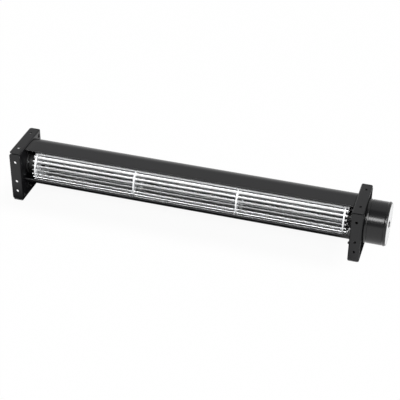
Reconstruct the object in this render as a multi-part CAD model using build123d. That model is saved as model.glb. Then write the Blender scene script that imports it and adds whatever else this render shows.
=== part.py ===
from build123d import *
from math import acos, atan2, cos, degrees, hypot, radians, sin, sqrt
import os

# Cross flow fan. Lengths are in millimetres. While a piece is built, X = 0 is the inner face
# of the left bracket's web, Y = 0 the front and Z = 0 the underside of the brackets.

# Folded end brackets
bracket_height = 61.0
bracket_depth = 57.8
flange_width = 12.3
bracket_sheet = 1.2
inner_bend = 0.6
side_notch = 0.4
end_notch = 1.4
seam_depth = 1.1
seam_weld = 0.8
flange_corner = 2.5
mount_hole = 3.2
side_holes_z = (12.2, 24.7, bracket_height - 11.9)
top_holes_y = (13.0, bracket_depth - 11.0)
top_hole_reach = 6.7
corner_hole = 4.8
corner_hole_inset = 5.6

# Span between the two brackets, and the axis of the impeller
span = 367.8
axis_y = 27.0
axis_below_top = 24.9
axis_z = bracket_height - axis_below_top

# Housing sheets
housing_sheet = 0.8
hem = 4.0
scroll_top_inset = 1.5
scroll_top = bracket_height - scroll_top_inset
scroll_lip_y = 14.5
scroll_radius = 24.2
scroll_back_inset = 1.3
outlet_height = 1.9
end_gap = 0.3
tongue_gap = 1.75
tongue_lip_angle = 205.0
tongue_end_angle = 236.0
tab_width = 12.0
tab_depth = 8.0
top_tab_y = 20.0
back_tab_z = 14.7
leg_tab_start = 1.5

# Screws that hold the sheets to the brackets
screw_radius = 1.4
screw_hole = 3.3
screw_length = 4.6
head_radius = 2.7
head_height = 1.7
recess_across = 1.6
recess_depth = 0.9

# Impeller
impeller_diameter = 40.0
blade_count = 24
blade_rim = 0.7
blade_inner_radius = 14.6
blade_outlet_angle = 28.0
blade_thickness = 0.55
blade_clearance = 0.08
blade_stub = 2.7
disc_thickness = 1.6
left_disc_inset = 12.8
right_disc_inset = 7.9
mid_disc_land = 1.8
segment_count = 3
hub_bore_clearance = 0.02

# Shafts and hubs
shaft_radius = 2.0
hub_flange_radius = 9.5
hub_flange = 1.6
hub_radius = 5.5
hub_reach = 5.2
spigot_radius = 4.0
hub_rivet_circle = 7.4
hub_rivet_radius = 0.9
hub_rivet_count = 3
grub_radius = 1.5
grub_socket_radius = 0.8

# Bearing at the free end
running_clearance = 0.05
bush_radius = 4.5
bush_gap = 0.2
rubber_radius = 7.6
holder_radius = 9.0
holder_flange_radius = 12.5
holder_flange = 1.6
holder_back = 6.4
holder_nose = 6.4
holder_lip = 1.2
holder_mouth = 5.9
ring_thickness = 0.6
holder_rivet_circle = 10.8
holder_rivet_radius = 1.0
holder_rivet_count = 3
washer_radius = 4.0
washer_thickness = 0.5

# Motor
motor_radius = 23.4
can_start = 11.2
can_length = 24.1
can_wall = 1.2
bead_width = 3.4
bead_rise = 0.45
bead_groove = 0.35
groove_width = 0.7
shield_floor = 2.6
shield_wall = 1.6
shield_plate = 2.0
neck_radius = 15.2
shield_fit = 0.1
shield_overlap = 3.4
motor_boss_radius = 7.9
motor_screw_circle = 11.2
motor_screw_count = 3
motor_screw_boss = 3.0
motor_screw_length = 6.5
motor_bush_length = 4.5
cap_thickness = 1.4
cap_boss_radius = 2.8
cap_boss_height = 1.0
cap_groove_radius = 3.6
cap_groove_width = 1.2
cap_groove_depth = 0.6
cap_pocket = 5.0
stator_pole_count = 6
stator_yoke = 2.6
stator_pole_length = 5.95
stator_pole_width = 3.6
stator_shoe = 1.3
stator_length = 10.0
coil_thickness = 1.5
air_gap = 0.6
magnet_thickness = 3.0
board_gap = 0.5
board_hole = 8.5
board_thickness = 1.2
grommet_radius = 1.7
grommet_lip = 2.3
grommet_hole = 1.1

# Sizes worked out from those above
impeller_radius = impeller_diameter / 2
blade_outer_radius = impeller_radius - blade_rim
blade_arc = (blade_outer_radius**2 - blade_inner_radius**2) / (
    2 * blade_outer_radius * cos(radians(blade_outlet_angle))
)
right_web = span + bracket_sheet
can_mouth = right_web + can_start
motor_end = can_mouth + can_length
can_inner = motor_radius - can_wall
shield_outer = can_inner - shield_fit
stator_outer = can_inner - running_clearance
stator_pole_tip = stator_outer - stator_yoke - stator_pole_length
left_disc_face = left_disc_inset
right_disc_face = span - right_disc_inset
disc_pitch = (right_disc_face - left_disc_face - disc_thickness) / segment_count
scroll_back = bracket_depth - scroll_back_inset
scroll_centre = (scroll_back - scroll_radius, scroll_top - scroll_radius)
tongue_inner = impeller_radius + tongue_gap
tongue_outer = tongue_inner + housing_sheet
place = Pos((flange_width - motor_end - cap_boss_height) / 2, -bracket_depth / 2, 0)
axis_place = Pos(0, axis_y, axis_z)


def polar(radius, angle):
    """Point at a radius and an angle in degrees about the impeller's axis, as (y, z)."""
    return (
        axis_y + radius * cos(radians(angle)),
        axis_z + radius * sin(radians(angle)),
    )


def slab(section, start, length):
    """A section drawn in (y, z), extruded along the fan from x = start."""
    return extrude(Plane.YZ.offset(start) * section, length)


def turned(*outline):
    """A turned piece: its half outline, as (x, radius) points, spun about the impeller's axis."""
    face = make_face(Polyline(*outline, close=True))
    return axis_place * revolve(Plane.XZ * face, Axis.X)


def rod(start, length, radius, point=(axis_y, axis_z)):
    """A round bar along X, centred on a (y, z) point."""
    return slab(Pos(*point) * Circle(radius), start, length)


def ring_points(radius, count, first=90.0):
    """Evenly spaced (y, z) points on a circle about the impeller's axis."""
    return [polar(radius, first + 360.0 * i / count) for i in range(count)]


def mirrored(solid):
    """The same piece at the other end of the span."""
    return mirror(solid, Plane.YZ.offset(span / 2))


def at_drive_end(solid):
    """The same piece at the impeller's other end, which lies nearer its bracket."""
    return Pos(left_disc_inset - right_disc_inset, 0, 0) * mirrored(solid)


def leg_frame():
    """Start of the tongue's straight leg on its outer face, its direction and its outward normal."""
    a = radians(tongue_end_angle)
    start = Vector(*polar(tongue_outer, tongue_end_angle))
    return start, Vector(-sin(a), cos(a)), Vector(cos(a), sin(a))


def leg_length():
    """Length of the leg down to the outlet's edge."""
    start, along, _ = leg_frame()
    return (start.Y - outlet_height) / -along.Y


def tab_screws():
    """The (y, z) points where the sheets' tabs are screwed to a bracket."""
    start, along, out = leg_frame()
    leg = start + along * (leg_tab_start + tab_width / 2) + out * (tab_depth / 2)
    return [
        (top_tab_y + tab_width / 2, scroll_top - housing_sheet - tab_depth / 2),
        (scroll_back - housing_sheet - tab_depth / 2, back_tab_z + tab_width / 2),
        (leg.X, leg.Y),
    ]


def folded_tray():
    """Web with four flanges bent away from the housing, before any hole is punched."""
    corner = (Align.MAX, Align.MIN, Align.MIN)
    outer = Box(flange_width, bracket_depth, bracket_height, align=corner)
    outer = fillet(outer.faces().sort_by(Axis.X)[-1].edges(), inner_bend + bracket_sheet)
    inner = Box(
        flange_width,
        bracket_depth - 2 * bracket_sheet,
        bracket_height - 2 * bracket_sheet,
        align=corner,
    )
    inner = fillet(inner.faces().sort_by(Axis.X)[-1].edges(), inner_bend)
    tray = outer - Pos(-bracket_sheet, bracket_sheet, bracket_sheet) * inner
    notch = Box(2 * flange_width, 2 * side_notch, 2 * end_notch)
    slit = Box(2 * flange_width, 2 * bracket_sheet, end_notch - bracket_sheet)
    slit_depth = (end_notch + bracket_sheet) / 2
    for y in (0, bracket_depth):
        for z in (0, bracket_height):
            tray -= Pos(-flange_width / 2, y, z) * notch
        for z in (slit_depth, bracket_height - slit_depth):
            tray -= Pos(-flange_width / 2, y, z) * slit
    free = [
        e
        for e in tray.edges()
        if abs(e.center().X + flange_width) < 0.01 and abs(e.length - bracket_sheet) < 0.01
    ]
    return with_seams(fillet(free, flange_corner))


def in_corners(section, start, length):
    """A section drawn in (y, z) from the front bottom corner, extruded in all four corners of the tray."""
    first = slab(section, start, length)
    pair = first + mirror(first, Plane.XZ.offset(-bracket_depth / 2))
    return pair + mirror(pair, Plane.XY.offset(bracket_height / 2))


def with_seams(tray):
    """Each corner of the tray: the cut ends open outwards like a mitre and are welded from inside."""
    near = side_notch / 2
    far = bracket_sheet + running_clearance
    wedge = make_face(Polyline((near, near), (near, far), (seam_depth, far), close=True))
    inside = bracket_sheet - running_clearance
    edge = bracket_sheet + seam_weld
    weld = make_face(Polyline((inside, inside), (edge, inside), (inside, edge), close=True))
    tray -= in_corners(wedge, -2 * flange_width, 4 * flange_width)
    weld_length = flange_width - flange_corner - bracket_sheet
    return tray + in_corners(weld, flange_corner - flange_width, weld_length)


def end_bracket(bore, fixing_points, fixing_hole):
    """Folded steel bracket of the left end, with its punched holes."""
    bracket = folded_tray()
    middle = -flange_width / 2
    for y in top_holes_y:
        punch = Cylinder(mount_hole / 2, 2 * bracket_height)
        bracket -= Pos(-top_hole_reach, y, bracket_height / 2) * punch
    for z in side_holes_z:
        punch = Rot(90, 0, 0) * Cylinder(mount_hole / 2, 2 * bracket_depth)
        bracket -= Pos(middle, bracket_depth / 2, z) * punch
    corners = [
        (corner_hole_inset, corner_hole_inset),
        (bracket_depth - corner_hole_inset, bracket_height - corner_hole_inset),
    ]
    holes = [(p, corner_hole / 2) for p in corners]
    holes += [(p, screw_hole / 2) for p in tab_screws()]
    holes += [(p, fixing_hole) for p in fixing_points]
    holes += [((axis_y, axis_z), bore)]
    for point, radius in holes:
        bracket -= rod(-2 * bracket_sheet, 3 * bracket_sheet, radius, point)
    return bracket


def scroll_section():
    """Section of the scroll: flat top with a hemmed lip, round back, straight wall to the outlet."""
    t = housing_sheet
    cy, cz = scroll_centre
    outer, inner = scroll_radius, scroll_radius - t
    edge = scroll_lip_y + t
    outline = [
        Line((edge, scroll_top), (cy, scroll_top)),
        CenterArc((cy, cz), outer, 90, -90),
        Line((scroll_back, cz), (scroll_back, outlet_height)),
        Line((scroll_back, outlet_height), (scroll_back - t, outlet_height)),
        Line((scroll_back - t, outlet_height), (scroll_back - t, cz)),
        CenterArc((cy, cz), inner, 0, 90),
        Line((cy, scroll_top - t), (edge + hem, scroll_top - t)),
        Line((edge + hem, scroll_top - t), (edge + hem, scroll_top - 2 * t)),
        Line((edge + hem, scroll_top - 2 * t), (edge, scroll_top - 2 * t)),
        CenterArc((edge, scroll_top - t), t, -90, -180),
    ]
    return make_face(outline)


def tongue_section():
    """Section of the tongue: hemmed lip, arc close round the impeller, leg to the outlet."""
    t = housing_sheet
    centre = (axis_y, axis_z)
    first, last = tongue_lip_angle, tongue_end_angle
    hem_sweep = degrees(hem / tongue_outer)
    start, along, out = leg_frame()
    end = start + along * leg_length()
    end_inner, start_inner = end - out * t, start - out * t
    folded = tongue_outer + t
    outline = [
        CenterArc(centre, tongue_inner, last, first - last),
        CenterArc(polar(tongue_outer, first), t, first + 180, 180),
        CenterArc(centre, folded, first, hem_sweep),
        Line(polar(folded, first + hem_sweep), polar(tongue_outer, first + hem_sweep)),
        CenterArc(centre, tongue_outer, first + hem_sweep, last - first - hem_sweep),
        Line((start.X, start.Y), (end.X, end.Y)),
        Line((end.X, end.Y), (end_inner.X, end_inner.Y)),
        Line((end_inner.X, end_inner.Y), (start_inner.X, start_inner.Y)),
    ]
    return make_face(outline)


def tab(corner, along, out, hole_point):
    """An ear bent off the end of a sheet, flat against the bracket, with its screw hole."""
    a, b = Vector(*corner), Vector(*corner) + along * tab_width
    root, tip = out * -housing_sheet / 2, out * tab_depth
    points = [a + root, b + root, b + tip, a + tip]
    ear = slab(make_face(Polyline(*[(p.X, p.Y) for p in points], close=True)), 0, housing_sheet)
    free = ear.edges().filter_by(Axis.X).sort_by_distance((0, a.X - out.X, a.Y - out.Y))[-2:]
    ear = fillet(free, 2 * housing_sheet)
    return ear - rod(-housing_sheet, 3 * housing_sheet, screw_radius + running_clearance, hole_point)


def with_tabs(sheet, tabs):
    """A sheet with the same ears at both ends of the span."""
    for ear in tabs:
        sheet += ear
        sheet += mirrored(ear)
    return sheet


def scroll_sheet():
    """Folded steel scroll that wraps the top and back of the impeller."""
    top, back, _ = tab_screws()
    under = scroll_top - housing_sheet
    inside = scroll_back - housing_sheet
    tabs = [
        tab((top_tab_y, under), Vector(1, 0), Vector(0, -1), top),
        tab((inside, back_tab_z), Vector(0, 1), Vector(-1, 0), back),
    ]
    return with_tabs(slab(scroll_section(), end_gap, span - 2 * end_gap), tabs)


def tongue_sheet():
    """Folded steel tongue under the impeller, between the inlet and the outlet."""
    start, along, out = leg_frame()
    root = start + along * leg_tab_start
    ear = tab((root.X, root.Y), along, out, tab_screws()[2])
    return with_tabs(slab(tongue_section(), end_gap, span - 2 * end_gap), [ear])


def pan_screw(point, length, radius=screw_radius):
    """Pan head screw along +X with a cross recess; the underside of its head is at x = 0."""
    head = rod(-head_height, head_height, head_radius, point)
    head = fillet(head.edges().sort_by(Axis.X)[0], 0.6 * head_height)
    slot = Box(2 * recess_depth, 2 * recess_across, 0.3 * recess_across)
    cross = slot + Rot(90, 0, 0) * slot
    shank = rod(0, length, radius, point)
    shank = chamfer(shank.edges().sort_by(Axis.X)[-1], 0.4 * radius)
    return head + shank - Pos(-head_height, *point) * cross


def housing_screws():
    """The screws of the left bracket, driven from outside into the sheets' tabs."""
    return [Pos(-bracket_sheet, 0, 0) * pan_screw(p, screw_length) for p in tab_screws()]


def blade_section(grow=0.0):
    """Section of one forward-curved blade: radial at its inner edge and leaning into the turn."""
    half = blade_thickness / 2 + grow
    arc = blade_arc
    inner = blade_inner_radius
    reach = (blade_outer_radius**2 - inner**2 - 2 * arc**2) / (2 * arc)
    # Along the arc the radius follows inner * sin(s) - arc * cos(s) = reach
    sweep = degrees(acos(-reach / hypot(inner, arc)) - atan2(inner, arc))
    slack = degrees(grow / arc)
    first, last = 90 - slack, 90 + sweep + slack
    centre = (inner, -arc)
    top, low = arc + half, arc - half

    def rim(radius, angle):
        return (centre[0] + radius * cos(radians(angle)), centre[1] + radius * sin(radians(angle)))

    outline = [
        CenterArc(centre, top, 180 - first, first - last),
        Line(rim(top, 180 - last), rim(low, 180 - last)),
        CenterArc(centre, low, 180 - last, last - first),
        Line(rim(low, 180 - first), rim(top, 180 - first)),
    ]
    return make_face(outline)


def blade_ring(grow=0.0):
    """The sections of all blades about the impeller's axis."""
    one = blade_section(grow)
    return [Pos(axis_y, axis_z) * Rot(0, 0, 360.0 * i / blade_count) * one for i in range(blade_count)]


def impeller_blades():
    """The blades, straight strips from one end disc to the other with their ends staked outside."""
    start = left_disc_face - blade_stub
    length = right_disc_face - left_disc_face + 2 * blade_stub
    return [slab(section, start, length) for section in blade_ring()]


def slotted_disc(start, hole):
    """Aluminium disc with one slot for each blade."""
    disc = Circle(impeller_radius) - Circle(hole)
    section = Pos(axis_y, axis_z) * disc
    for slot in blade_ring(blade_clearance):
        section -= slot
    return slab(section, start, disc_thickness)


def left_hub():
    """Moulded hub riveted to the outside of the left end disc, with its spigot in the disc."""
    bore = shaft_radius + hub_bore_clearance
    face = left_disc_face
    hub = turned(
        (face - hub_reach, bore),
        (face - hub_reach, hub_radius),
        (face - hub_flange, hub_radius),
        (face - hub_flange, hub_flange_radius),
        (face, hub_flange_radius),
        (face, spigot_radius),
        (face + disc_thickness + hub_flange, spigot_radius),
        (face + disc_thickness + hub_flange, bore),
    )
    for point in ring_points(hub_rivet_circle, hub_rivet_count):
        hub -= rod(face - 2 * hub_flange, 3 * hub_flange, hub_rivet_radius + hub_bore_clearance, point)
    return hub


def grub_place():
    """Where the grub screw enters the drive hub."""
    return Pos(right_disc_face + hub_flange + (hub_reach - hub_flange) / 2, axis_y, axis_z)


def drive_hub():
    """Hub of the right end disc, clamped on the motor's shaft by a grub screw."""
    hub = at_drive_end(left_hub())
    return hub - grub_place() * Cylinder(
        grub_radius + hub_bore_clearance, 2 * hub_radius, align=(Align.CENTER, Align.CENTER, Align.MIN)
    )


def grub_screw():
    """Short socket screw that bears on the motor's shaft."""
    foot = shaft_radius + hub_bore_clearance
    length = hub_radius - foot
    screw = Cylinder(grub_radius, length, align=(Align.CENTER, Align.CENTER, Align.MIN))
    screw -= Pos(0, 0, length / 2) * extrude(RegularPolygon(grub_socket_radius, 6), length)
    return grub_place() * Pos(0, 0, foot) * screw


def hub_rivets():
    """Rivets through the left hub's flange and the end disc, with a head at each side."""
    face = left_disc_face
    head, thick = 1.8 * hub_rivet_radius, 0.8 * hub_rivet_radius
    rivets = []
    for point in ring_points(hub_rivet_circle, hub_rivet_count):
        rivet = rod(face - hub_flange, hub_flange + disc_thickness, hub_rivet_radius, point)
        for start in (face - hub_flange - thick, face + disc_thickness):
            rivet += rod(start, thick, head, point)
        rivets.append(rivet)
    return rivets


def end_disc():
    """Left end disc: slots for the blades, a hole for the hub's spigot and holes for the rivets."""
    disc = slotted_disc(left_disc_face, spigot_radius + hub_bore_clearance)
    for point in ring_points(hub_rivet_circle, hub_rivet_count):
        disc -= rod(0, span / 2, hub_rivet_radius + hub_bore_clearance, point)
    return disc


def mid_disc(index):
    """Open ring between two segments of the impeller."""
    return slotted_disc(left_disc_face + index * disc_pitch, blade_inner_radius - mid_disc_land)


def stub_shaft():
    """Steel pin fixed in the left hub and turning in the bush."""
    start = holder_lip / 2 - holder_back
    end = left_disc_face + disc_thickness + hub_flange
    return chamfer(rod(start, end - start, shaft_radius).edges().sort_by(Axis.X)[0], 0.2 * shaft_radius)


def bearing_holder():
    """Black moulded cup through the left web: open outside, with a flange and a nose inside."""
    shoulder = holder_nose - holder_lip
    holder = turned(
        (-holder_back, rubber_radius),
        (-holder_back, holder_radius),
        (0, holder_radius),
        (0, holder_flange_radius),
        (holder_flange, holder_flange_radius),
        (holder_flange, holder_radius),
        (holder_nose, holder_radius),
        (holder_nose, holder_mouth),
        (shoulder, holder_mouth),
        (shoulder, rubber_radius),
    )
    for point in ring_points(holder_rivet_circle, holder_rivet_count, -90):
        holder -= rod(-holder_flange, 3 * holder_flange, holder_rivet_radius + running_clearance, point)
    return holder


def bearing_rubber():
    """Rubber ring that carries the bush and takes up misalignment."""
    back = ring_thickness - holder_back
    front = holder_nose - holder_lip
    inner, outer = bush_radius + running_clearance, rubber_radius - running_clearance
    return turned((back, inner), (back, outer), (front, outer), (front, inner))


def bearing_bush():
    """Sintered bronze bush of the free end."""
    back = ring_thickness - holder_back
    front = left_disc_face - hub_reach - washer_thickness - bush_gap
    inner = shaft_radius + running_clearance
    return turned((back, inner), (back, bush_radius), (front, bush_radius), (front, inner))


def retaining_ring():
    """Spring steel ring that keeps the rubber ring in its cup."""
    back = -holder_back
    inner, outer = bush_radius + bush_gap, rubber_radius - running_clearance
    front = back + ring_thickness
    return turned((back, inner), (back, outer), (front, outer), (front, inner))


def holder_rivets():
    """Rivets that hold the bearing holder's flange to the web."""
    rivets = []
    head, thick = 1.6 * holder_rivet_radius, 0.7 * holder_rivet_radius
    for point in ring_points(holder_rivet_circle, holder_rivet_count, -90):
        rivet = rod(-bracket_sheet, bracket_sheet + holder_flange, holder_rivet_radius, point)
        rivet += rod(-bracket_sheet - thick, thick, head, point) + rod(holder_flange, thick, head, point)
        rivets.append(rivet)
    return rivets


def thrust_washer():
    """Nylon washer between the bush and the left hub."""
    end = left_disc_face - hub_reach
    inner = shaft_radius + running_clearance
    return turned(
        (end - washer_thickness, inner),
        (end - washer_thickness, washer_radius),
        (end, washer_radius),
        (end, inner),
    )


def motor_shield():
    """Cast front shield of the motor: boss through the web, neck, and the plate that holds the can."""
    inner = shield_outer - shield_wall
    shoulder = motor_radius - bead_rise
    hollow = neck_radius - shield_wall
    back_of_bush = span - hub_flange + motor_bush_length
    shield = turned(
        (span - hub_flange, bush_radius),
        (span - hub_flange, motor_boss_radius),
        (right_web, motor_boss_radius),
        (right_web, neck_radius),
        (can_mouth - shield_plate, neck_radius),
        (can_mouth - shield_plate, shoulder),
        (can_mouth, shoulder),
        (can_mouth, shield_outer),
        (can_mouth + shield_overlap, shield_outer),
        (can_mouth + shield_overlap, inner),
        (can_mouth, inner),
        (can_mouth, hollow),
        (right_web + shield_floor, hollow),
        (right_web + shield_floor, motor_boss_radius),
        (back_of_bush, motor_boss_radius),
        (back_of_bush, bush_radius),
    )
    hole = screw_radius + running_clearance
    boss_start, boss_length = right_web + shield_floor / 2, motor_screw_length - shield_floor
    for point in motor_fixings():
        shield += rod(boss_start, boss_length, motor_screw_boss, point)
        shield -= rod(right_web - shield_floor, shield_floor + motor_screw_length, hole, point)
    return shield - grommet_place() * Cylinder(grommet_radius, 4 * shield_wall)


def motor_fixings():
    """The (y, z) points of the screws that hold the motor to the right web."""
    return ring_points(motor_screw_circle, motor_screw_count, -90)


def motor_screws():
    """Screws from inside the housing through the right web into the motor's shield."""
    return [Pos(span, 0, 0) * pan_screw(p, motor_screw_length) for p in motor_fixings()]


def motor_bush(start):
    """Bronze bush of the motor, from x = start."""
    inner = shaft_radius + running_clearance
    end = start + motor_bush_length
    return turned((start, inner), (start, bush_radius), (end, bush_radius), (end, inner))


def motor_can():
    """Drawn steel can with a rolled bead at its mouth and a rounder one at its end."""
    body = motor_radius - bead_groove
    wall = motor_radius - bead_groove / 2
    low = body - bead_groove
    crown = motor_radius + bead_rise / 2
    near, far = can_mouth + bead_width, motor_end - bead_width
    rim = can_inner + bead_groove / 2
    outline = [
        ThreePointArc((can_mouth, body), (can_mouth + bead_width / 2, crown), (near, body)),
        Polyline(
            (near, body),
            (near, low),
            (near + groove_width, low),
            (near + groove_width, wall),
            (far - groove_width, wall),
            (far - groove_width, low),
            (far, low),
            (far, body),
        ),
        ThreePointArc((far, body), (far + bead_width / 2, crown), (motor_end, rim)),
        Polyline((motor_end, rim), (motor_end, can_inner), (can_mouth, can_inner), (can_mouth, body)),
    ]
    return axis_place * revolve(Plane.XZ * make_face(outline), Axis.X)


def grommet_place():
    """Centre of the lead hole in the back of the shield's neck, its axis pointing back."""
    x = (right_web + shield_floor + can_mouth - shield_plate) / 2
    return Pos(x, axis_y + neck_radius, axis_z) * Rot(-90, 0, 0)


def lead_grommet():
    """Rubber grommet that lines the lead hole in the motor's neck."""
    inner = neck_radius - shield_wall
    seat = neck_radius - sqrt(inner**2 - grommet_lip**2)
    body = Pos(0, 0, -seat / 2) * Cylinder(grommet_radius - running_clearance, seat)
    for height in (shield_wall / 2, -seat - shield_wall / 2):
        body += Pos(0, 0, height) * Cylinder(grommet_lip, shield_wall)
    return grommet_place() * (body - Cylinder(grommet_hole, 8 * shield_wall))


def end_cap():
    """Bright aluminium cap pressed in the end of the can, with the rear bush's boss."""
    outer = can_inner - shield_fit
    face = motor_end
    inside = face - cap_thickness
    groove_in = cap_groove_radius - cap_groove_width / 2
    groove_out = cap_groove_radius + cap_groove_width / 2
    cap = turned(
        (inside, bush_radius),
        (inside - cap_pocket, bush_radius),
        (inside - cap_pocket, motor_boss_radius),
        (inside, motor_boss_radius),
        (inside, outer),
        (face - cap_groove_depth / 2, outer),
        (face, outer - cap_groove_depth),
        (face, groove_out),
        (face - cap_groove_depth, groove_out),
        (face - cap_groove_depth, groove_in),
        (face, groove_in),
        (face, cap_boss_radius),
        (face + cap_boss_height - cap_groove_depth / 2, cap_boss_radius),
        (face + cap_boss_height, cap_boss_radius - cap_groove_depth / 2),
        (face + cap_boss_height, 0),
        (inside, 0),
    )
    return cap


def stator_middle():
    """Middle of the stator and rotor along the motor's axis."""
    return can_mouth + can_length / 2


def stator():
    """Laminated stator with its poles pointing in at the rotor."""
    ring = Circle(stator_outer) - Circle(stator_outer - stator_yoke)
    reach = stator_outer - stator_yoke / 2 - stator_pole_tip
    pole = Pos(stator_pole_tip + reach / 2, 0) * Rectangle(reach, stator_pole_width)
    pole += Pos(stator_pole_tip + stator_shoe / 2, 0) * Rectangle(stator_shoe, 2 * stator_pole_width)
    for i in range(stator_pole_count):
        ring += Rot(0, 0, 360.0 * i / stator_pole_count) * pole
    ring -= Circle(stator_pole_tip)
    return slab(Pos(axis_y, axis_z) * ring, stator_middle() - stator_length / 2, stator_length)


def stator_coils():
    """One wound coil round each pole."""
    inner = stator_pole_tip + stator_shoe + 2 * running_clearance
    wide = stator_pole_width + 4 * running_clearance
    outer = sqrt((stator_outer - stator_yoke) ** 2 - (wide / 2 + coil_thickness) ** 2)
    height = outer - 2 * running_clearance - inner
    long = stator_length + 4 * running_clearance
    coil = Box(long + 2 * coil_thickness, height, wide + 2 * coil_thickness)
    coil = fillet(coil.edges().filter_by(Axis.Y), coil_thickness) - Box(long, 2 * height, wide)
    coil = Pos(stator_middle(), inner + height / 2, 0) * coil
    return [axis_place * Rot(360.0 * i / stator_pole_count, 0, 0) * coil for i in range(stator_pole_count)]


def rotor_core():
    """Steel core of the motor's rotor, on the shaft."""
    start, end = stator_middle() - stator_length / 2, stator_middle() + stator_length / 2
    outer = stator_pole_tip - air_gap - magnet_thickness
    inner = shaft_radius + hub_bore_clearance
    return turned((start, inner), (start, outer), (end, outer), (end, inner))


def magnet_ring():
    """Magnet ring round the rotor core."""
    start, end = stator_middle() - stator_length / 2, stator_middle() + stator_length / 2
    outer = stator_pole_tip - air_gap
    inner = outer - magnet_thickness + hub_bore_clearance
    return turned((start, inner), (start, outer), (end, outer), (end, inner))


def motor_shaft():
    """Steel shaft from the impeller's drive hub to the motor's rear bush."""
    start = right_disc_face - disc_thickness - hub_flange
    end = motor_end - cap_thickness - running_clearance
    return chamfer(rod(start, end - start, shaft_radius).edges().sort_by(Axis.X)[-1], 0.2 * shaft_radius)


def circuit_board():
    """Ring-shaped board of the motor's driver, on the inner face of the shield's plate."""
    ring = Circle(shield_outer - shield_wall - board_gap) - Circle(board_hole)
    return slab(Pos(axis_y, axis_z) * ring, can_mouth, board_thickness)


def pieces():
    """Every node of the fan: its name, and its solid or list of solids."""
    screws = housing_screws()
    fixings = ring_points(holder_rivet_circle, holder_rivet_count, -90)
    return {
        "left_end_bracket": end_bracket(holder_radius, fixings, holder_rivet_radius + running_clearance),
        "right_end_bracket": mirrored(end_bracket(motor_boss_radius, motor_fixings(), screw_hole / 2)),
        "scroll_sheet": scroll_sheet(),
        "tongue_sheet": tongue_sheet(),
        "left_housing_screws": screws,
        "right_housing_screws": [mirrored(s) for s in screws],
        "left_end_disc": end_disc(),
        "left_mid_disc": mid_disc(1),
        "right_mid_disc": mid_disc(2),
        "right_end_disc": at_drive_end(end_disc()),
        "impeller_blades": impeller_blades(),
        "left_hub": left_hub(),
        "drive_hub": drive_hub(),
        "left_hub_rivets": hub_rivets(),
        "drive_hub_rivets": [at_drive_end(r) for r in hub_rivets()],
        "drive_hub_grub_screw": grub_screw(),
        "stub_shaft": stub_shaft(),
        "thrust_washer": thrust_washer(),
        "bearing_holder": bearing_holder(),
        "bearing_rubber_ring": bearing_rubber(),
        "bearing_bush": bearing_bush(),
        "bearing_retaining_ring": retaining_ring(),
        "bearing_holder_rivets": holder_rivets(),
        "motor_front_shield": motor_shield(),
        "motor_screws": motor_screws(),
        "motor_front_bush": motor_bush(span - hub_flange),
        "motor_can": motor_can(),
        "motor_lead_grommet": lead_grommet(),
        "motor_end_cap": end_cap(),
        "motor_rear_bush": motor_bush(motor_end - cap_thickness - cap_pocket),
        "motor_stator": stator(),
        "motor_coils": stator_coils(),
        "motor_rotor_core": rotor_core(),
        "motor_magnet_ring": magnet_ring(),
        "motor_shaft": motor_shaft(),
        "motor_circuit_board": circuit_board(),
    }


os.makedirs("parts", exist_ok=True)
for name, shape in pieces().items():
    solids = shape if isinstance(shape, list) else [shape]
    moved = [place * s for s in solids]
    export_step(moved[0] if len(moved) == 1 else Compound(children=moved), f"parts/{name}.step")
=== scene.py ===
import math

import bmesh
import bpy
import numpy as np
from mathutils import Matrix


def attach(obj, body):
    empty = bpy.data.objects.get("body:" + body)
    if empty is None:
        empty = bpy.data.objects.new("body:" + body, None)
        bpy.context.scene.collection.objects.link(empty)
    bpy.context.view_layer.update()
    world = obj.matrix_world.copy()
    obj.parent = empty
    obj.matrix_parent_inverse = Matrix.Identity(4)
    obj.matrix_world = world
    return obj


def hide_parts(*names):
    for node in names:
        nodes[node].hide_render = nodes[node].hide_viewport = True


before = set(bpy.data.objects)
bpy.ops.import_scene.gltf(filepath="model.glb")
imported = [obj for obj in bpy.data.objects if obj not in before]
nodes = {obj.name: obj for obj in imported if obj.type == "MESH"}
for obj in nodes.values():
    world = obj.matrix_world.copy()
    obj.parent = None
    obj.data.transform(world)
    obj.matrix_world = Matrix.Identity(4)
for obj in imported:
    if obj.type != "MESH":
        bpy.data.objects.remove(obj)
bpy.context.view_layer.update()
mm = 0.001

# End brackets. Each is one blank of 1.2 mm steel with four flanges folded outwards and its holes
# punched before folding. A satin black powder coat goes over the whole plate and rounds its cut
# edges a little.
coat_round, coat_steps = 0.22 * mm, 2
same_point = 0.002 * mm
flat_within, edge_beyond = 0.5, 35.0  # degrees
cloud_size = 28.0
peel_strength = 0.35
low_colour, high_colour, mixed_colour = 6, 7, 2  # the colour sockets of a Mix node


def set_inputs(tree, made, values):
    """Fills a node's inputs: a value that is a socket is linked to its input, any other is set on it."""
    for key, value in values.items():
        if isinstance(value, bpy.types.NodeSocket):
            tree.links.new(value, made.inputs[key])
        else:
            made.inputs[key].default_value = value


def node(tree, kind, values, **settings):
    """Adds a shader node, makes its settings and then fills its inputs."""
    made = tree.nodes.new(kind)
    for key, value in settings.items():
        setattr(made, key, value)
    set_inputs(tree, made, values)
    return made


def group_tree(name, numbers, masks):
    """A shader node group that takes a vector and named numbers and puts out named masks. Gives the
    group, the sockets of what comes in and the sockets of what goes out."""
    tree = bpy.data.node_groups.new(name, "ShaderNodeTree")
    tree.interface.new_socket("Vector", in_out="INPUT", socket_type="NodeSocketVector")
    for label in numbers:
        tree.interface.new_socket(label, in_out="INPUT", socket_type="NodeSocketFloat")
    for label in masks:
        tree.interface.new_socket(label, in_out="OUTPUT", socket_type="NodeSocketFloat")
    return tree, tree.nodes.new("NodeGroupInput").outputs, tree.nodes.new("NodeGroupOutput").inputs


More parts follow.
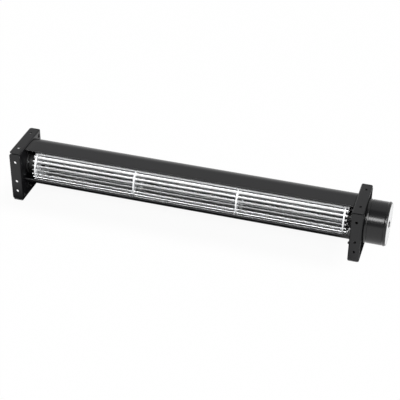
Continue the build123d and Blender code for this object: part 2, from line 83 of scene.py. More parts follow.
def material(name, **fixed):
    """A new material with fixed numbers set on its Principled shader. Gives the material, its tree, its
    shader and the Object coordinates."""
    made = bpy.data.materials.new(name)
    made.use_nodes = True
    tree = made.node_tree
    shader = tree.nodes["Principled BSDF"]
    set_inputs(tree, shader, fixed)
    return made, tree, shader, tree.nodes.new("ShaderNodeTexCoord").outputs["Object"]


def between(tree, low, high, factor):
    """A colour or a number that goes from low to high as the factor goes from 0 to 1. A high that is a
    tuple of red, green and blue makes it a colour."""
    if isinstance(high, tuple):
        low = (*low, 1.0) if isinstance(low, tuple) else low
        values = {"Factor": factor, low_colour: low, high_colour: (*high, 1.0)}
        return node(tree, "ShaderNodeMix", values, data_type="RGBA").outputs[mixed_colour]
    values = {"Value": factor, "To Min": low, "To Max": high}
    return node(tree, "ShaderNodeMapRange", values).outputs["Result"]


def noise(tree, place, size, detail):
    """Smooth noise from 0 to 1. The size is its waves to the metre, and the detail its finer layers."""
    values = {"Vector": place, "Scale": size, "Detail": detail}
    return node(tree, "ShaderNodeTexNoise", values).outputs["Fac"]


def coating_group():
    """Cloud is slow unevenness in the coat's thickness, and Peel the fine ripple of a cured powder or
    enamel."""
    tree, given, result = group_tree("coating", ["Cloud size", "Peel size"], ["Cloud", "Peel"])
    tree.links.new(noise(tree, given["Vector"], given["Cloud size"], detail=2.0), result["Cloud"])
    tree.links.new(noise(tree, given["Vector"], given["Peel size"], detail=1.5), result["Peel"])
    return tree


coating = coating_group()


def link_finish(tree, shader, colour, roughness, height, strength, depth):
    """Links a colour and a roughness to a shader, and a height through a bump of a strength and depth."""
    bump = node(tree, "ShaderNodeBump", {"Height": height, "Strength": strength, "Distance": depth})
    values = {"Base Color": colour, "Roughness": roughness, "Normal": bump.outputs["Normal"]}
    set_inputs(tree, shader, values)


def coated(name, dark, light, smooth, rough, peel_size, peel_depth, **fixed):
    """A painted, coated or moulded surface: its colour and roughness drift with the cloud, and its ripple
    is a bump."""
    made, tree, shader, place = material(name, **fixed)
    values = {"Vector": place, "Cloud size": cloud_size, "Peel size": peel_size}
    marks = node(tree, "ShaderNodeGroup", values, node_tree=coating).outputs
    colour = between(tree, dark, light, marks["Cloud"])
    roughness = between(tree, smooth, rough, marks["Cloud"])
    link_finish(tree, shader, colour, roughness, marks["Peel"], peel_strength, peel_depth)
    return made


def softened_copy(name, source, width, steps):
    """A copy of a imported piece: doubles merged, flat faces joined, and its edges rounded by the width."""
    mesh = nodes[source].data.copy()
    mesh.name = name
    if "custom_normal" in mesh.attributes:
        mesh.attributes.remove(mesh.attributes["custom_normal"])
    work = bmesh.new()
    work.from_mesh(mesh)
    bmesh.ops.remove_doubles(work, verts=work.verts, dist=same_point)
    bmesh.ops.dissolve_limit(
        work, angle_limit=math.radians(flat_within), verts=work.verts, edges=work.edges
    )
    work.to_mesh(mesh)
    work.free()
    mesh.shade_smooth()
    made = bpy.data.objects.new(name, mesh)
    bpy.context.scene.collection.objects.link(made)
    bevel = made.modifiers.new("coated_edges", "BEVEL")
    bevel.width = width
    bevel.segments = steps
    bevel.limit_method = "ANGLE"
    bevel.angle_limit = math.radians(edge_beyond)
    bevel.harden_normals = True
    return made


def dress(piece, finish, slot, body, *replaced):
    """Gives a piece its material and its body, and hides the pieces that it stands for.
    The slot is not used.
    """
    piece.data.materials.clear()
    piece.data.materials.append(finish)
    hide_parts(*replaced)
    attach(piece, body)


satin_black = coated(
    "satin_black_powder_coat",
    dark=(0.0060, 0.0060, 0.0066), light=(0.0092, 0.0092, 0.0100),
    smooth=0.27, rough=0.33, peel_size=950.0, peel_depth=0.02 * mm, IOR=1.42,
)
for side in ("left", "right"):
    bracket = softened_copy(f"{side}_bracket_plate", f"{side}_end_bracket", coat_round, coat_steps)
    dress(bracket, satin_black, "black_steel", "frame", f"{side}_end_bracket")

# Scroll sheet. It is 0.8 mm steel: a flat top whose front lip is folded back on itself, a round
# back and a straight wall down to the outlet. Two ears at each end take the screws from the bracket.
left_web, right_web = -196.5, 171.3
sheet = 0.8
sheet_end_gap = 0.3
sheet_stations = 40
hem_length = 4.0
hem_seam = 0.06
cut_round = 0.18
scroll_top, scroll_back = 59.5, 27.6
scroll_lip = -14.4
scroll_curve = 24.2
outlet_edge = 1.9
ear_width, ear_depth, ear_corner = 12.0, 8.0, 1.6
ear_hole, ear_overlap = 1.45, 0.3
top_ear_start, back_ear_start = -8.9, 14.7
corner_join, crease = 0.0005 * mm, 38.0


def arc(centre, radius, start, sweep, steps):
    """Points of an arc in (y, z): the centre plus the radius at angles that go from start to start plus
    sweep, in degrees."""
    a = np.radians(np.linspace(start, start + sweep, steps))
    return np.stack([centre[0] + radius * np.cos(a), centre[1] + radius * np.sin(a)], 1)


def along(start, end, steps):
    """Points spaced evenly on a straight line in (y, z)."""
    return np.linspace(np.array(start, float), np.array(end, float), steps)


def surface(points, round_first=False, round_second=False):
    """The corners of a grid of points [i, j] and its four-sided faces, closed in either direction where
    asked."""
    rows, columns = points.shape[:2]
    i, j = np.meshgrid(
        np.arange(rows if round_first else rows - 1),
        np.arange(columns if round_second else columns - 1),
        indexing="ij",
    )
    next_i, next_j = (i + 1) % rows, (j + 1) % columns
    corners = ((i, j), (next_i, j), (next_i, next_j), (i, next_j))
    faces = np.stack([row * columns + column for row, column in corners], -1)
    return points.reshape(-1, 3), faces.reshape(-1, 4)


def strip(path, thickness, x_start, x_end, soften, stations):
    """A strip of sheet whose section follows a path and is carried along X.

    The two sides are the path plus and minus its normal times half the thickness, and half ellipses
    join them at the ends. Over the last bit of X the half thickness shrinks by
    soften * (1 - sin t) while x runs in by soften * (1 - cos t), which rounds the cut edges.
    """
    tangent = np.gradient(path, axis=0)
    tangent /= np.linalg.norm(tangent, axis=1, keepdims=True)
    normal = np.stack([-tangent[:, 1], tangent[:, 0]], 1)
    t = np.radians([0.0, 30.0, 60.0, 90.0])
    run_in, shrink = soften * (1 - np.cos(t)), soften * (1 - np.sin(t))
    middle = np.linspace(x_start + soften, x_end - soften, stations)[1:-1]
    x = np.concatenate([x_start + run_in, middle, x_end - run_in[::-1]])
    inset = np.concatenate([shrink, 0 * middle, shrink[::-1]])
    half = (thickness / 2 - inset)[:, None, None]
    turn = np.radians([45.0, 90.0, 135.0])[None, :, None]
    nose, tail = soften * tangent[-1], soften * tangent[0]
    side = path + half * normal
    other = path - half * normal
    end = path[-1] + np.cos(turn) * half * normal[-1] + np.sin(turn) * nose
    start = path[0] - np.cos(turn) * half * normal[0] - np.sin(turn) * tail
    section = np.concatenate([side, end, other[:, ::-1], start], 1)
    depth = np.broadcast_to(x[:, None, None], section.shape[:2] + (1,))
    corners, faces = surface(np.concatenate([depth, section], 2), round_second=True)

    # Each end of the strip is closed by a row of four-sided faces from side to side, and by one more
    # face over each half ellipse.
    n, loop = len(path), section.shape[1]
    k = np.arange(n - 1)
    across = np.stack([k, k + 1, 2 * n + 1 - k, 2 * n + 2 - k], 1)
    last = (len(x) - 1) * loop
    ends = [list(range(n - 1, n + 4)), [0] + list(range(loop - 1, loop - 5, -1))]
    ends += [[c + last for c in e] for e in ends]
    return corners, [*faces.tolist(), *across.tolist(), *(across + last).tolist(), *ends]


def holed_plate(outline, hole, radius, x_start, x_end, soften):
    """A plate with a round hole. Each row of the grid joins a point of the outline to the point of the
    hole that lies the same way from its centre, and the columns run round the section: outer wall,
    rounded rim, face, hole wall, face."""
    out = outline - hole
    reach = np.linalg.norm(out, axis=1, keepdims=True)
    way = out / reach
    rim = ((1.0, 0.0), (0.3, 0.3), (0.0, 1.0))  # below the face and in from the wall, in parts of soften
    loops = [(x_end - below * soften, hole + way * (reach - cut * soften)) for below, cut in rim]
    loops += [(x_end, hole + way * (radius + soften)), (x_end - soften, hole + way * radius)]
    loops += [(x_start + soften, hole + way * radius), (x_start, hole + way * (radius + soften))]
    loops += [(x_start + below * soften, hole + way * (reach - cut * soften)) for below, cut in rim[::-1]]
    grid = np.stack([np.concatenate([np.full((len(p), 1), x), p], 1) for x, p in loops], 1)
    return surface(grid, round_first=True, round_second=True)


def rounded_outline(corner, across, out, width, depth, radius, root_steps=9, corner_steps=7):
    """An ear's outline: its root is straight, and its two free corners are quarter circles."""
    corner, across, out = (np.array(v, float) for v in (corner, across, out))
    root = corner + across * width * np.linspace(0.0, 1.0, root_steps)[:, None]
    a = np.radians(np.linspace(0.0, 90.0, corner_steps))[:, None]
    far = corner + across * (width - radius) + out * (depth - radius)
    near = corner + across * radius + out * (depth - radius)
    far_turn = far + radius * (np.cos(a) * across + np.sin(a) * out)
    near_turn = near + radius * (np.cos(a) * out - np.sin(a) * across)
    return np.concatenate([root, far_turn, near_turn])


def build(name, parts):
    """One mesh object from several (corners, faces) pairs in millimetres, closed, facing out, smooth
    up to the crease angle."""
    corners, faces, count = [], [], 0
    for points, loops in parts:
        corners.append(points)
        loops = loops.tolist() if isinstance(loops, np.ndarray) else loops
        faces += [[c + count for c in loop] for loop in loops]
        count += len(points)
    mesh = bpy.data.meshes.new(name)
    mesh.from_pydata((np.concatenate(corners) * mm).tolist(), [], faces)
    work = bmesh.new()
    work.from_mesh(mesh)
    bmesh.ops.remove_doubles(work, verts=work.verts, dist=corner_join)
    bmesh.ops.recalc_face_normals(work, faces=work.faces)
    work.to_mesh(mesh)
    work.free()
    mesh.shade_smooth()
    mesh.set_sharp_from_angle(angle=math.radians(crease))
    made = bpy.data.objects.new(name, mesh)
    bpy.context.scene.collection.objects.link(made)
    return made


def web_to_web(path):
    """A folded sheet's strip from one bracket's web to the other's, with a small gap at each."""
    x_start, x_end = left_web + sheet_end_gap, right_web - sheet_end_gap
    return strip(path, sheet, x_start, x_end, cut_round, sheet_stations)


def ears(corner, across, out, hole):
    """The same ear at both ends of a sheet, flat against each bracket's web."""
    outline = rounded_outline(corner, across, out, ear_width, ear_depth, ear_corner)
    hole = np.array(hole, float)
    return [
        holed_plate(outline, hole, ear_hole, left_web, left_web + sheet, cut_round),
        holed_plate(outline, hole, ear_hole, right_web - sheet, right_web, cut_round),
    ]


half_sheet = sheet / 2
curve_centre = (scroll_back - scroll_curve, scroll_top - scroll_curve)
fold = half_sheet + hem_seam / 2
top_line, back_line = scroll_top - half_sheet, scroll_back - half_sheet
hem_line, fold_start = top_line - 2 * fold, scroll_lip + fold
scroll_path = np.concatenate([
    along((fold_start + hem_length, hem_line), (fold_start, hem_line), steps=8),
    arc((fold_start, top_line - fold), fold, -90.0, -180.0, steps=14)[1:],
    along((fold_start, top_line), (curve_centre[0], top_line), steps=24)[1:],
    arc(curve_centre, scroll_curve - half_sheet, 90.0, -90.0, steps=46)[1:],
    along((back_line, curve_centre[1]), (back_line, outlet_edge + cut_round), steps=20)[1:],
])
under_top, inside_back = scroll_top - sheet, scroll_back - sheet
top_ear_hole = (top_ear_start + ear_width / 2, under_top - ear_depth / 2)
back_ear_hole = (inside_back - ear_depth / 2, back_ear_start + ear_width / 2)
scroll = build("scroll_wrap", [
    web_to_web(scroll_path),
    *ears((top_ear_start, under_top + ear_overlap), (1, 0), (0, -1), top_ear_hole),
    *ears((inside_back + ear_overlap, back_ear_start), (0, 1), (-1, 0), back_ear_hole),
])
dress(scroll, satin_black, "black_steel", "frame", "scroll_sheet")

# Tongue sheet. The same 0.8 mm steel, rolled close round the underside of the impeller, with its
# front edge folded out and back, and a straight leg that ends at the outlet. One ear at each end.
axis_y, axis_z = -1.9, 36.1
tongue_inside = 21.75
tongue_lip, tongue_turn = 205.0, 236.0
leg_ear_start = 1.5


def toward(angle):
    """The direction in (y, z) that stands at an angle in degrees: its cosine and its sine."""
    return np.array([math.cos(math.radians(angle)), math.sin(math.radians(angle))])


axis = np.array([axis_y, axis_z])
tongue_middle = tongue_inside + half_sheet
leg_out, leg_along = toward(tongue_turn), toward(tongue_turn + 90.0)
leg_top = axis + tongue_middle * leg_out
leg_reach = (leg_top[1] - outlet_edge - half_sheet * abs(leg_out[1])) / abs(leg_along[1])
hem_sweep = math.degrees(hem_length / (tongue_inside + sheet))
fold_centre = axis + (tongue_middle + fold) * toward(tongue_lip)
tongue_path = np.concatenate([
    arc(axis, tongue_middle + 2 * fold, tongue_lip + hem_sweep, -hem_sweep, steps=10),
    arc(fold_centre, fold, tongue_lip, -180.0, steps=14)[1:],
    arc(axis, tongue_middle, tongue_lip, tongue_turn - tongue_lip, steps=26)[1:],
    along(leg_top, leg_top + leg_along * leg_reach, steps=16)[1:],
])
leg_ear = leg_top + leg_along * leg_ear_start + leg_out * (half_sheet - ear_overlap)
leg_ear_middle = leg_ear_start + ear_width / 2
leg_hole = leg_top + leg_along * leg_ear_middle + leg_out * (half_sheet + ear_depth / 2)
tongue = build("tongue_strip", [
    web_to_web(tongue_path),
    *ears(leg_ear, leg_along, leg_out, leg_hole),
])
dress(tongue, satin_black, "black_steel", "frame", "tongue_sheet")

# Housing screws and motor screws. Pan head machine screws of steel with a black oxide finish: three
# through each web into the ears of the sheets, and three from inside the right web into the motor.
black_oxide = coated(
    "black_oxide",
    dark=(0.012, 0.012, 0.013), light=(0.022, 0.021, 0.021),
    smooth=0.30, rough=0.42, peel_size=1400.0, peel_depth=0.01 * mm, Metallic=0.35,
)


def dress_nodes(finish, *names):
    """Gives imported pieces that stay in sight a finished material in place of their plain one."""
    for name in names:
        nodes[name].data.materials.clear()
        nodes[name].data.materials.append(finish)


dress_nodes(black_oxide, "left_housing_screws", "right_housing_screws", "motor_screws")
dress_nodes(black_oxide, "drive_hub_grub_screw")

# Bearing at the free end. A black moulded cup through the left web holds a rubber ring, and the ring
# a sintered bronze bush. A steel pin in the impeller's hub turns in it against a nylon washer.
blotch_size = 40.0
grain_strength = 0.25


def vector_math(tree, how, *vectors):
    """One or two vectors worked on as the operation says. LENGTH gives a number, the others a vector."""
    made = node(tree, "ShaderNodeVectorMath", dict(enumerate(vectors)), operation=how)
    return made.outputs["Value" if how == "LENGTH" else "Vector"]


def grain_group():
    """Streak is fine drawn grain along X: noise on coordinates that are squeezed along X. Blotch is slow
    unevenness of the surface."""
    tree, given, result = group_tree(
        "drawn_grain", ["Along", "Across", "Blotch size"], ["Streak", "Blotch"]
    )
    sizes = {"X": given["Along"], "Y": given["Across"], "Z": given["Across"]}
    squeeze = node(tree, "ShaderNodeCombineXYZ", sizes).outputs["Vector"]
    squeezed = vector_math(tree, "MULTIPLY", given["Vector"], squeeze)
    tree.links.new(noise(tree, squeezed, 1.0, detail=3.0), result["Streak"])
    tree.links.new(noise(tree, given["Vector"], given["Blotch size"], detail=2.0), result["Blotch"])
    return tree


drawn_grain = grain_group()


def grained(name, dark, light, smooth, rough, grain_depth, along_x, across_x, **fixed):
    """A bare metal: its colour drifts with the blotch, and its roughness and height follow the grain."""
    made, tree, shader, place = material(name, **fixed)
    values = {"Vector": place, "Along": along_x, "Across": across_x, "Blotch size": blotch_size}
    marks = node(tree, "ShaderNodeGroup", values, node_tree=drawn_grain).outputs
    colour = between(tree, dark, light, marks["Blotch"])
    roughness = between(tree, smooth, rough, marks["Streak"])
    link_finish(tree, shader, colour, roughness, marks["Streak"], grain_strength, grain_depth)
    return made


black_moulding = coated(
    "black_moulding",
    dark=(0.014, 0.014, 0.014), light=(0.022, 0.022, 0.022),
    smooth=0.38, rough=0.46, peel_size=700.0, peel_depth=0.015 * mm,
)
black_rubber = coated(
    "black_rubber",
    dark=(0.010, 0.010, 0.010), light=(0.020, 0.020, 0.019),
    smooth=0.60, rough=0.72, peel_size=1100.0, peel_depth=0.02 * mm,
)
nylon = coated(
    "natural_nylon",
    dark=(0.70, 0.68, 0.62), light=(0.80, 0.78, 0.72),
    smooth=0.40, rough=0.50, peel_size=600.0, peel_depth=0.01 * mm,
)
bronze = coated(
    "sintered_bronze",
    dark=(0.50, 0.33, 0.17), light=(0.62, 0.42, 0.24),
    smooth=0.34, rough=0.48, peel_size=2600.0, peel_depth=0.02 * mm, Metallic=1.0,
)
ground_steel = grained(
    "ground_steel",
    dark=(0.52, 0.52, 0.53), light=(0.64, 0.64, 0.65),
    smooth=0.20, rough=0.32, grain_depth=0.004 * mm, along_x=900.0, across_x=900.0, Metallic=1.0,
)
rivet_metal = grained(
    "rivet_aluminium",
    dark=(0.66, 0.67, 0.68), light=(0.78, 0.78, 0.79),
    smooth=0.28, rough=0.40, grain_depth=0.006 * mm, along_x=500.0, across_x=500.0, Metallic=1.0,
)
dress_nodes(black_moulding, "bearing_holder", "left_hub", "drive_hub")
dress_nodes(black_rubber, "bearing_rubber_ring", "motor_lead_grommet")
dress_nodes(nylon, "thrust_washer")
dress_nodes(bronze, "bearing_bush", "motor_front_bush", "motor_rear_bush")
dress_nodes(ground_steel, "stub_shaft", "motor_shaft", "bearing_retaining_ring")
dress_nodes(rivet_metal, "bearing_holder_rivets", "left_hub_rivets", "drive_hub_rivets")

# Impeller blades. 24 strips of bright rolled aluminium, curved forwards into the turn, pass through
# slots in all four discs, and their ends are staked just outside the end discs.
blade_count = 24
blade_inner, blade_outer = 14.6, 19.3
blade_outlet_angle = 28.0
blade_sheet = 0.55
blade_edge = 0.16
blade_start, blade_end = -186.4, 166.1
blade_steps, blade_stations = 15, 24
aluminium_dark, aluminium_light = (0.87, 0.875, 0.885), (0.95, 0.955, 0.96)

# A blade's section is an arc that leaves the inner circle straight outwards and meets the outer
# circle at the outlet angle. Its radius is the difference of the squares of the two circles' radii,
# over twice the outer one times the cosine of that angle, and its sweep ends on the outer circle.
square_step = blade_outer**2 - blade_inner**2
blade_curve = square_step / (2 * blade_outer * math.cos(math.radians(blade_outlet_angle)))
blade_reach = (square_step - 2 * blade_curve**2) / (2 * blade_curve)
blade_sweep = math.degrees(
    math.acos(-blade_reach / math.hypot(blade_inner, blade_curve)) - math.atan2(blade_inner, blade_curve)
)
blade_path = arc((blade_inner, -blade_curve), blade_curve, 90.0, -blade_sweep, blade_steps)


def about_axis(path, angle):
    """A path in (y, z) turned by an angle in degrees and moved out to the impeller's axis."""
    c, s = toward(angle)
    return path @ np.array([[c, s], [-s, c]]) + axis


blades = build("impeller_strips", [
    strip(
        about_axis(blade_path, i * 360.0 / blade_count),
        blade_sheet, blade_start, blade_end, blade_edge, blade_stations,
    )
    for i in range(blade_count)
])
rolled_aluminium = grained(
    "bright_rolled_aluminium",
    dark=aluminium_dark, light=aluminium_light,
    smooth=0.26, rough=0.36, grain_depth=0.006 * mm, along_x=14.0, across_x=1500.0, Metallic=1.0,
)
dress(blades, rolled_aluminium, "bright_aluminium", "impeller", "impeller_blades")

# Impeller discs. Two end discs and two open rings of the same aluminium, 1.6 mm thick, punched with a
# slot for each blade. The punch leaves a slightly rolled edge.
disc_round, disc_steps = 0.16 * mm, 1
punched_aluminium = grained(
    "punched_aluminium",
    dark=aluminium_dark, light=aluminium_light,
    smooth=0.58, rough=0.70, grain_depth=0.006 * mm, along_x=700.0, across_x=700.0, Metallic=1.0,
)
for place_name in ("left_end", "left_mid", "right_mid", "right_end"):
    disc = softened_copy(f"{place_name}_slotted_disc", f"{place_name}_disc", disc_round, disc_steps)
    dress(disc, punched_aluminium, "bright_aluminium", "impeller", f"{place_name}_disc")

# Motor can. Drawn from thin steel and painted gloss black. A round bead at its mouth grips the front
# shield, a second bead with a narrow groove before it holds the end cap.
motor_radius = 23.4
can_mouth, can_end = 183.7, 207.8
can_wall = 1.2
bead_width, bead_rise = 3.4, 0.45
bead_groove, groove_width, groove_corner = 0.35, 0.7, 0.12
side_loops = (0.15, 0.4)


def softened(profile, radius, steps=4):
    """A closed outline with each corner replaced by a quadratic curve that begins and ends at most radius
    from it, and never past the middle of a side."""
    share = 0.45
    p = np.array(profile, float)
    before, after = np.roll(p, 1, 0) - p, np.roll(p, -1, 0) - p
    reach_before = np.linalg.norm(before, axis=1, keepdims=True)
    reach_after = np.linalg.norm(after, axis=1, keepdims=True)
    a = p + before * np.minimum(radius / reach_before, share)
    b = p + after * np.minimum(radius / reach_after, share)
    s = np.linspace(0.0, 1.0, steps)[None, :, None]
    a, b, p = a[:, None], b[:, None], p[:, None]
    return ((1 - s) ** 2 * a + 2 * s * (1 - s) * p + s**2 * b).reshape(-1, 2)


def turned(profile, steps=144):
    """A closed (x, radius) outline turned about the impeller's axis: y and z are the axis plus the radius
    times the cosine and sine of the angle."""
    a = np.linspace(0.0, 2 * np.pi, steps, endpoint=False)[:, None]
    x = np.broadcast_to(profile[:, 0], (steps, len(profile)))
    y = axis_y + profile[:, 1] * np.cos(a)
    z = axis_z + profile[:, 1] * np.sin(a)
    return surface(np.stack([x, y, z], -1), round_first=True, round_second=True)


def bulge(start, end, low_start, low_end, crown, steps=15):
    """A bead's outline in (x, radius): a parabola through its two feet and its crown half way along."""
    s = np.linspace(0.0, 1.0, steps)
    rise = crown - (low_start + low_end) / 2
    radius = low_start + (low_end - low_start) * s + 4 * rise * s * (1 - s)
    return np.stack([start + (end - start) * s, radius], 1)


can_inner = motor_radius - can_wall
can_side = motor_radius - bead_groove / 2
bead_foot, bead_crown = motor_radius - bead_groove, motor_radius + bead_rise / 2
groove_floor = bead_foot - bead_groove
near_bead, far_bead = can_mouth + bead_width, can_end - bead_width
near_side, far_side = near_bead + groove_width, far_bead - groove_width
near_groove = [(near_bead, groove_floor), (near_side, groove_floor), (near_side, can_side)]
far_groove = [(far_side, can_side), (far_side, groove_floor), (far_bead, groove_floor)]
# A groove's outline is open, so the points that softened puts on its closing side are cut off, all but
# the first one of the far groove.
can_profile = np.concatenate([
    bulge(can_mouth, near_bead, bead_foot, bead_foot, bead_crown),
    softened(near_groove, groove_corner)[1:-4],
    [(near_side + step, can_side) for step in side_loops],
    [(far_side - step, can_side) for step in side_loops[::-1]],
    softened(far_groove, groove_corner)[:-2],
    bulge(far_bead, can_end, bead_foot, can_inner + bead_groove / 2, bead_crown),
    [(can_end, can_inner), (can_mouth, can_inner)],
])
gloss_black = coated(
    "gloss_black_enamel",
    dark=(0.0075, 0.0075, 0.008), light=(0.011, 0.011, 0.0115),
    smooth=0.20, rough=0.25, peel_size=420.0, peel_depth=0.004 * mm, IOR=1.45,
)
can = build("motor_shell", [turned(can_profile)])
dress(can, gloss_black, "gloss_black_can", "frame", "motor_can")

# Motor end cap. Turned from aluminium and pressed into the end of the can, with a groove round
# its centre boss. Shade is painted dark into the groove and a narrow band either side of it. The
# turning tool leaves fine rings on its face.
cap_thickness, cap_fit = 1.4, 0.1
cap_chamfer, cap_corner = 0.6, 0.14
cap_boss_radius, cap_boss_height = 2.8, 1.0
cap_groove_radius, cap_groove_width, cap_groove_depth = 3.6, 1.2, 0.6
cap_pocket, cap_pocket_radius, bush_radius = 5.0, 7.9, 4.5
pole_radius = 0.001
cap_dark, cap_light = (0.80, 0.805, 0.81), (0.93, 0.935, 0.94)
cap_smooth, cap_rough, cap_blotch_size = 0.18, 0.46, 60.0
ring_pitch, ring_strength, ring_depth = 0.22, 0.3, 0.01 * mm
# Painted shade: a dark colour in the groove round the boss, spreading a little past its edges.
painted_groove_shade, shade_beyond_groove = (0.05, 0.05, 0.05), 0.25


def number_math(tree, how, *numbers):
    """Two or three numbers worked on as the operation says."""
    return node(tree, "ShaderNodeMath", dict(enumerate(numbers)), operation=how).outputs["Value"]


def turning_and_shade_group():
    """Rings round the motor's axis: the radius is the length of (y, z) from the axis, and noise on the
    radius alone gives the tool's marks. Groove is 1 where the radius is within Half of Middle, and
    masks the shade painted into the cap's groove."""
    tree, given, result = group_tree(
        "turning_marks_and_groove_shade", ["Pitch", "Middle", "Half"], ["Rings", "Blotch", "Groove"]
    )
    centred = vector_math(tree, "SUBTRACT", given["Vector"], (0.0, axis_y * mm, axis_z * mm))
    radius = vector_math(tree, "LENGTH", vector_math(tree, "MULTIPLY", centred, (0.0, 1.0, 1.0)))
    count = number_math(tree, "DIVIDE", radius, given["Pitch"])
    marks = {"W": count, "Scale": 1.0, "Detail": 3.0}
    rings = node(tree, "ShaderNodeTexNoise", marks, noise_dimensions="1D").outputs["Fac"]
    groove = number_math(tree, "COMPARE", radius, given["Middle"], given["Half"])
    tree.links.new(rings, result["Rings"])
    tree.links.new(noise(tree, given["Vector"], cap_blotch_size, detail=2.0), result["Blotch"])
    tree.links.new(groove, result["Groove"])
    return tree


cap_outer = can_inner - cap_fit
cap_back = can_end - cap_thickness
groove_in = cap_groove_radius - cap_groove_width / 2
groove_out = cap_groove_radius + cap_groove_width / 2
cap_section = softened([
    (cap_back, bush_radius),
    (cap_back - cap_pocket, bush_radius),
    (cap_back - cap_pocket, cap_pocket_radius),
    (cap_back, cap_pocket_radius),
    (cap_back, cap_outer),
    (can_end - cap_chamfer / 2, cap_outer),
    (can_end, cap_outer - cap_chamfer),
    (can_end, groove_out),
    (can_end - cap_groove_depth, groove_out),
    (can_end - cap_groove_depth, groove_in),
    (can_end, groove_in),
    (can_end, cap_boss_radius),
    (can_end + cap_boss_height, cap_boss_radius),
    (can_end + cap_boss_height, pole_radius),
    (cap_back, pole_radius),
], cap_corner)
turned_aluminium, cap_tree, cap_shader, cap_place = material("turned_aluminium", Metallic=1.0)
cap_marks_and_shade = node(cap_tree, "ShaderNodeGroup", {
    "Vector": cap_place,
    "Pitch": ring_pitch * mm,
    "Middle": cap_groove_radius * mm,
    "Half": (cap_groove_width / 2 + shade_beyond_groove) * mm,
}, node_tree=turning_and_shade_group()).outputs
cap_face = between(cap_tree, cap_dark, cap_light, cap_marks_and_shade["Blotch"])
# The groove and a band round it get a painted shade in place of the cap's colour.
cap_colour = between(cap_tree, cap_face, painted_groove_shade, cap_marks_and_shade["Groove"])
cap_roughness = between(cap_tree, cap_smooth, cap_rough, cap_marks_and_shade["Rings"])
link_finish(
    cap_tree, cap_shader, cap_colour, cap_roughness, cap_marks_and_shade["Rings"], ring_strength, ring_depth
)
cap = build("motor_face", [turned(cap_section)])
dress(cap, turned_aluminium, "cap_aluminium", "frame", "motor_end_cap")

# Motor insides. A black coated casting carries the motor on the web. Behind it are the driver's board,
# a laminated stator with six copper windings, and the magnet ring on its core.
casting_black = coated(
    "black_casting",
    dark=(0.012, 0.012, 0.013), light=(0.024, 0.024, 0.025),
    smooth=0.40, rough=0.52, peel_size=1300.0, peel_depth=0.05 * mm, Metallic=0.2,
)
laminations = grained(
    "laminated_steel",
    dark=(0.20, 0.20, 0.21), light=(0.32, 0.32, 0.33),
    smooth=0.35, rough=0.50, grain_depth=0.02 * mm, along_x=2200.0, across_x=20.0, Metallic=0.9,
)
winding = grained(
    "enamelled_copper",
    dark=(0.42, 0.15, 0.06), light=(0.60, 0.26, 0.11),
    smooth=0.22, rough=0.36, grain_depth=0.04 * mm, along_x=1800.0, across_x=1800.0, Metallic=0.9,
)
ferrite = coated(
    "sintered_ferrite",
    dark=(0.045, 0.045, 0.047), light=(0.075, 0.075, 0.078),
    smooth=0.5, rough=0.62, peel_size=1600.0, peel_depth=0.02 * mm,
)
board_green = coated(
    "coated_board",
    dark=(0.010, 0.085, 0.035), light=(0.018, 0.125, 0.052),
    smooth=0.26, rough=0.36, peel_size=500.0, peel_depth=0.01 * mm,
)
dress_nodes(casting_black, "motor_front_shield")
dress_nodes(laminations, "motor_stator", "motor_rotor_core")
dress_nodes(winding, "motor_coils")
dress_nodes(ferrite, "motor_magnet_ring")
dress_nodes(board_green, "motor_circuit_board")

# Floor. One pale matt sheet that the fan stands on. To the camera and to mirror-like surfaces it is
# nearly white. To the camera the white fades close to the fan, so that its soft shadow stays, and
# hardly shows in the outlet, where the floor lies in the shade of the housing. To mirror-like
# surfaces the floor fades to black close to the fan: a painted shadow.
floor_half = 6.0
floor_colour, white = (0.40, 0.40, 0.40, 1.0), (1.0, 1.0, 1.0, 1.0)
white_seen, white_mirrored = 0.995, 0.95
shade_seen, mirrored_painted_shadow, outlet_seen = 0.94, 0.0, 0.05
fan_middle, fan_half, fan_reach = (-0.03, 0.0, 0.0), (0.18, 0.03, 0.0), 0.035
outlet_middle, outlet_half, outlet_reach = (-0.0126, 0.0195, 0.0), (0.1839, 0.0075, 0.0), 0.003
floor_mesh = bpy.data.meshes.new("pale_floor")
floor_corners = [
    (x * floor_half, y * floor_half, 0.0) for x, y in ((-1, -1), (1, -1), (1, 1), (-1, 1))
]
floor_mesh.from_pydata(floor_corners, [], [(0, 1, 2, 3)])
floor = bpy.data.objects.new("pale_floor", floor_mesh)
bpy.context.scene.collection.objects.link(floor)
floor_finish = bpy.data.materials.new("pale_floor")
floor_finish.use_nodes = True
floor_tree = floor_finish.node_tree
floor_tree.nodes.remove(floor_tree.nodes["Principled BSDF"])


def away_from(tree, middle, half, reach):
    """0 over a rectangle of the floor, rising to 1 at the reach from it. The distance is the length of
    the part of |place - middle| that lies beyond the half sizes."""
    place = tree.nodes.new("ShaderNodeTexCoord").outputs["Object"]
    folded = vector_math(tree, "ABSOLUTE", vector_math(tree, "SUBTRACT", place, middle))
    beyond = vector_math(tree, "SUBTRACT", folded, half)
    outside = vector_math(tree, "MAXIMUM", beyond, (0.0, 0.0, 0.0))
    values = {"Value": vector_math(tree, "LENGTH", outside), "From Max": reach}
    return node(tree, "ShaderNodeMapRange", values, interpolation_type="SMOOTHSTEP").outputs["Result"]


fade = away_from(floor_tree, fan_middle, fan_half, fan_reach)
outlet_fade = away_from(floor_tree, outlet_middle, outlet_half, outlet_reach)
rays = floor_tree.nodes.new("ShaderNodeLightPath").outputs
camera_ray = rays["Is Camera Ray"]
mirror_ray = number_math(floor_tree, "MAXIMUM", rays["Is Glossy Ray"], rays["Is Transmission Ray"])
open_floor = between(floor_tree, shade_seen, white_seen, fade)
seen_share = between(floor_tree, outlet_seen, open_floor, outlet_fade)
seen_white = number_math(floor_tree, "MULTIPLY", camera_ray, seen_share)
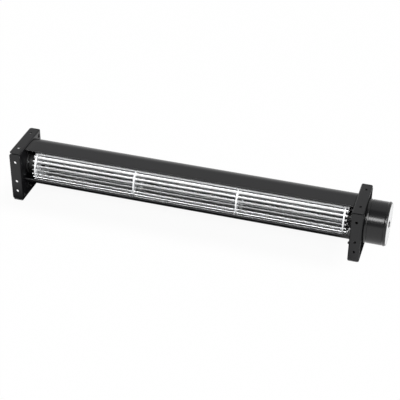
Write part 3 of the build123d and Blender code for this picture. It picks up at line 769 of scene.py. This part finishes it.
# Mirror rays see a painted shadow: the floor's white goes to black close to the fan.
mirrored_share = between(floor_tree, mirrored_painted_shadow, white_mirrored, fade)
mirrored_white = number_math(floor_tree, "MULTIPLY", mirror_ray, mirrored_share)
floor_matt = node(floor_tree, "ShaderNodeBsdfDiffuse", {"Color": floor_colour})
floor_white = node(floor_tree, "ShaderNodeEmission", {
    "Color": white,
    "Strength": number_math(floor_tree, "MAXIMUM", camera_ray, mirrored_white),
})
floor_mix = node(floor_tree, "ShaderNodeMixShader", {
    0: number_math(floor_tree, "MAXIMUM", seen_white, mirror_ray),
    1: floor_matt.outputs["BSDF"],
    2: floor_white.outputs["Emission"],
})
set_inputs(floor_tree, floor_tree.nodes["Material Output"], {"Surface": floor_mix.outputs["Shader"]})
floor_mesh.materials.append(floor_finish)

# Studio light. A white surround that is bright low down and behind the fan and dark overhead and in
# front, with one long soft lamp high in front on the left and a smaller one at the right end.
sky_low, sky_high, sky_behind = 0.95, 0.05, 0.59
front_edge, back_edge = 0.0, 0.2
low_edge, high_edge = 0.10, 0.22
world = bpy.data.worlds.new("studio_surround")
world.use_nodes = True
bpy.context.scene.world = world
sky_tree = world.node_tree
sky_place = sky_tree.nodes.new("ShaderNodeTexCoord").outputs["Generated"]
sky_way = node(sky_tree, "ShaderNodeSeparateXYZ", {0: sky_place}).outputs


def sky_step(part, start, end, low, high):
    """A strength that goes from low to high as one part of the direction goes from start to end."""
    values = {"Value": part, "From Min": start, "From Max": end, "To Min": low, "To Max": high}
    return node(sky_tree, "ShaderNodeMapRange", values).outputs["Result"]


overhead = sky_step(sky_way["Y"], front_edge, back_edge, sky_high, sky_behind)
sky_light = sky_step(sky_way["Z"], low_edge, high_edge, sky_low, overhead)
set_inputs(sky_tree, sky_tree.nodes["Background"], {"Color": white, "Strength": sky_light})


def facing(right, up, back, place):
    """The matrix of an object at a place whose X, Y and Z point right, up and back."""
    return Matrix([*zip(right, up, back, place), (0.0, 0.0, 0.0, 1.0)])


def soft_lamp(name, place, aim, width, height, power):
    """A rectangular soft lamp that faces a point. Its right side is level, at right angles to the line
    from the point, and its up side is at right angles to both."""
    light = bpy.data.lights.new(name, "AREA")
    light.shape = "RECTANGLE"
    light.size, light.size_y = width, height
    light.energy = power
    lamp = bpy.data.objects.new(name, light)
    back = np.subtract(place, aim)
    back /= np.linalg.norm(back)
    right = np.cross((0.0, 0.0, 1.0), back)
    right /= np.linalg.norm(right)
    lamp.matrix_world = facing(right, np.cross(back, right), back, place)
    bpy.context.scene.collection.objects.link(lamp)


soft_lamp(
    "front_softbox",
    place=(-0.48, -1.37, 1.46), aim=(-0.48, 0.0, 0.03), width=2.4, height=0.42, power=46.0,
)
soft_lamp(
    "end_softbox",
    place=(1.3, -0.5, 0.7), aim=(0.2, 0.0, 0.03), width=0.5, height=0.8, power=14.0,
)

# Camera. A long lens from the front, a little to the right and from above, as the fan was photographed.
camera_place = (0.30148, -1.00633, 0.72513)
camera_right = (0.956477, 0.291652, 0.009553)
camera_up = (-0.169694, 0.529282, 0.831303)
camera_back = (0.237395, -0.796743, 0.555737)
camera_lens, camera_sensor = 104.256, 36.0
camera_data = bpy.data.cameras.new("camera")
camera_data.lens = camera_lens
camera_data.sensor_width = camera_sensor
camera = bpy.data.objects.new("camera", camera_data)
camera.matrix_world = facing(camera_right, camera_up, camera_back, camera_place)
bpy.context.scene.collection.objects.link(camera)
bpy.context.scene.camera = camera
bpy.context.scene.view_settings.view_transform = "Standard"
